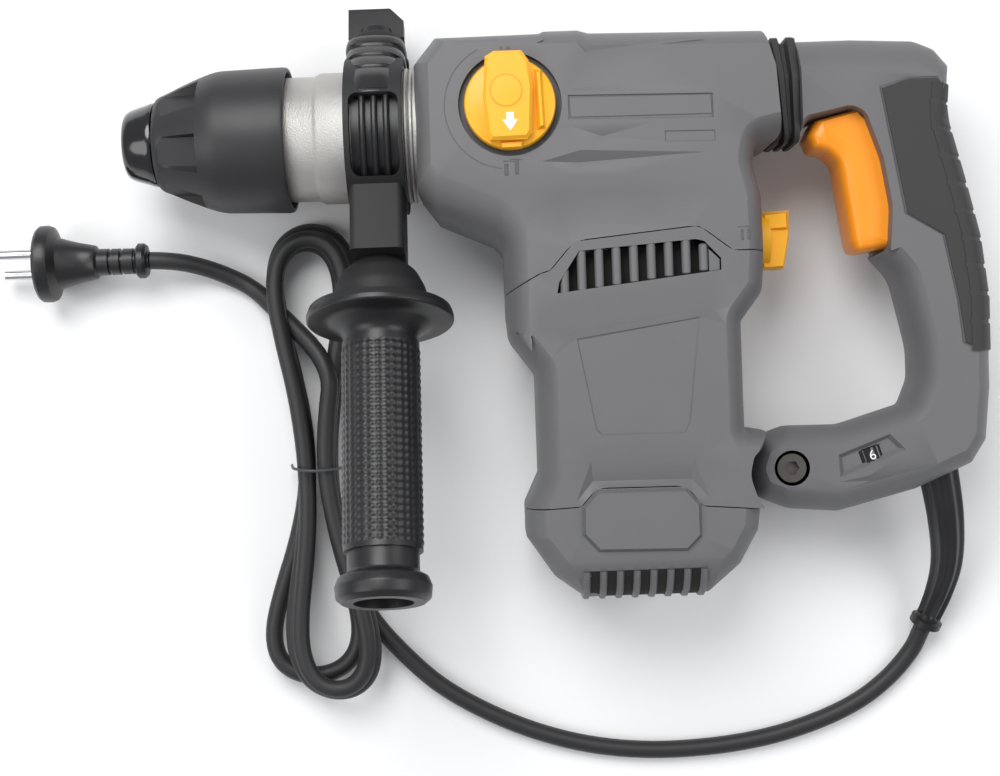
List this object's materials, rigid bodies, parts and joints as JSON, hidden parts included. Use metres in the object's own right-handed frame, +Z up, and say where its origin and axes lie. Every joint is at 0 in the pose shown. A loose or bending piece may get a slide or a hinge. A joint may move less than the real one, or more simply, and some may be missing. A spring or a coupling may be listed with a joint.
{
  "type": "rotary hammer",
  "caption": "Corded three-mode rotary hammer lying on its side, with a keyless bit chuck, clamp-on side handle, crosswise motor, sprung D-handle with trigger, and its lead tied in a hank",
  "frame": {"origin": "on the surface the tool lies on, below the middle of the tool's bounding box without its cord", "axes": "X runs back along the barrel from the chuck to the D-handle, Y runs across from the motor end towards the top of the gear housing, Z is up, out of the side with the mode knob"},
  "size_m": [0.4635, 0.3648, 0.1273],
  "materials": {
    "grey_shell": "fine texture",
    "black_plastic": "satin",
    "gloss_black": "gloss",
    "soft_rubber": "matte",
    "cord_rubber": "matte",
    "yellow": "satin",
    "orange": "satin",
    "cast_metal": "grainy cast",
    "steel": "ground",
    "copper": "enamelled wire",
    "laminations": "stacked sheets",
    "carbon": "matt"
  },
  "bodies": {
    "housing": {"nose_casting": "cast_metal", "gear_housing": "grey_shell", "motor_housing": "grey_shell", "motor_end_cap": "grey_shell", "bellows": "soft_rubber", "bearing_bridge": "cast_metal", "stator_core": "laminations", "stator_windings": "copper", "brush_holders": "black_plastic", "carbon_brushes": "carbon", "spindle_bearings": "steel", "armature_bearings": "steel", "housing_screws": "steel"},
    "spindle": {"tool_holder": "steel", "hammer_tube": "steel", "dust_cap": "gloss_black", "ring_bevel_gear": "steel", "locking_balls": "steel", "chuck_spring": "steel"},
    "sleeve": {"chuck_sleeve": "black_plastic"},
    "armature": {"armature_shaft": "steel", "armature_core": "laminations", "commutator": "copper", "cooling_fan": "black_plastic"},
    "crank": {"crank_gear": "steel"},
    "bevel": {"bevel_pinion": "steel"},
    "piston_rod": {"piston": "steel", "connecting_rod": "steel"},
    "striker": {"striker": "steel"},
    "beat": {"beat_piece": "steel"},
    "side_handle": {"handle_yoke": "black_plastic", "clamp_strap": "steel"},
    "clamp_bolt": {"clamp_bolt": "steel"},
    "grip": {"side_grip": "black_plastic", "grip_cover": "black_plastic"},
    "depth_lock": {"depth_lock_knob": "black_plastic"},
    "mode": {"mode_knob": "yellow", "mode_shaft": "steel"},
    "mode_button": {"mode_button": "yellow"},
    "selector": {"rear_selector_knob": "yellow"},
    "rear_handle": {"handle_shell_near": "grey_shell", "handle_shell_far": "grey_shell", "grip_overmould": "soft_rubber", "pivot_bolt": "steel", "trigger_pin": "steel", "switch_block": "black_plastic", "speed_controller": "black_plastic", "cord_clamp": "black_plastic", "handle_springs": "steel", "handle_screws": "steel", "cord_boot": "cord_rubber", "cord_lead": "cord_rubber", "cord_hank": "cord_rubber", "cord_plug_lead": "cord_rubber", "hank_tie": "steel", "plug_body": "cord_rubber", "plug_pins": "steel"},
    "dial": {"speed_dial": "black_plastic"},
    "trigger": {"trigger": "orange"}
  },
  "joints": [
    {"name": "spindle_turn", "type": "hinge", "parent": "housing", "child": "spindle", "pos_m": [-0.097, 0.074, 0.045], "axis": [1, 0, 0], "continuous": true},
    {"name": "sleeve_slide", "type": "slide", "parent": "spindle", "child": "sleeve", "axis": [1, 0, 0], "range_m": [0, 0.008], "stiffness_N_per_m": 900, "deforming": ["chuck_spring"]},
    {"name": "armature_spin", "type": "hinge", "parent": "housing", "child": "armature", "pos_m": [0.032, -0.046, 0.045], "axis": [0, 1, 0], "continuous": true},
    {"name": "crank_spin", "type": "hinge", "parent": "housing", "child": "crank", "pos_m": [0.062, 0.034, 0.045], "axis": [0, 1, 0], "continuous": true},
    {"name": "bevel_spin", "type": "hinge", "parent": "housing", "child": "bevel", "pos_m": [0.002, 0.034, 0.045], "axis": [0, 1, 0], "continuous": true},
    {"name": "piston_stroke", "type": "slide", "parent": "housing", "child": "piston_rod", "axis": [1, 0, 0], "range_m": [0, 0.022]},
    {"name": "striker_travel", "type": "slide", "parent": "housing", "child": "striker", "axis": [1, 0, 0], "range_m": [-0.006, 0.02]},
    {"name": "beat_travel", "type": "slide", "parent": "housing", "child": "beat", "axis": [1, 0, 0], "range_m": [0, 0.01]},
    {"name": "side_handle_swivel", "type": "hinge", "parent": "housing", "child": "side_handle", "pos_m": [-0.081, 0.074, 0.045], "axis": [1, 0, 0], "range_deg": [-90, 0]},
    {"name": "grip_turn", "type": "hinge", "parent": "side_handle", "child": "grip", "pos_m": [-0.081, 0.074, 0.045], "axis": [0, 0.9563, -0.2924], "range_deg": [0, 720]},
    {"name": "clamp_bolt_travel", "type": "slide", "parent": "side_handle", "child": "clamp_bolt", "axis": [0, 0.9563, -0.2924], "range_m": [-0.0031, 0]},
    {"name": "depth_lock_turn", "type": "hinge", "parent": "side_handle", "child": "depth_lock", "pos_m": [-0.081, 0.074, 0.045], "axis": [0, 0.9563, -0.2924], "range_deg": [0, 180]},
    {"name": "mode_knob_turn", "type": "hinge", "parent": "housing", "child": "mode", "pos_m": [-0.02, 0.0795, 0.09], "axis": [0, 0, 1], "range_deg": [-180, 0]},
    {"name": "mode_button_press", "type": "slide", "parent": "mode", "child": "mode_button", "axis": [0, 0, -1], "range_m": [0, 0.0015], "stiffness_N_per_m": 800},
    {"name": "rear_selector_turn", "type": "hinge", "parent": "housing", "child": "selector", "pos_m": [0.093, 0.02, 0.045], "axis": [1, 0, 0], "range_deg": [0, 90]},
    {"name": "rear_handle_float", "type": "hinge", "parent": "housing", "child": "rear_handle", "pos_m": [0.1015, -0.0845, 0.045], "axis": [0, 0, 1], "range_deg": [0, 1.3], "stiffness_Nm_per_rad": 150, "deforming": ["bellows", "handle_springs"]},
    {"name": "speed_dial_turn", "type": "hinge", "parent": "rear_handle", "child": "dial", "pos_m": [0.138, -0.08, 0.053], "axis": [-0.309, 0.9511, 0], "range_deg": [-200, 0]},
    {"name": "trigger_pull", "type": "hinge", "parent": "rear_handle", "child": "trigger", "pos_m": [0.1335, 0.0805, 0.045], "axis": [0, 0, 1], "range_deg": [0, 7], "stiffness_Nm_per_rad": 2}
  ],
  "couplings": [
    {"joint": "crank_spin", "follows": "armature_spin", "ratio": -0.2},
    {"joint": "bevel_spin", "follows": "armature_spin", "ratio": -0.2},
    {"joint": "spindle_turn", "follows": "armature_spin", "ratio": 0.085714},
    {"joint": "clamp_bolt_travel", "follows": "grip_turn", "m_per_rad": -0.00023873}
  ]
}
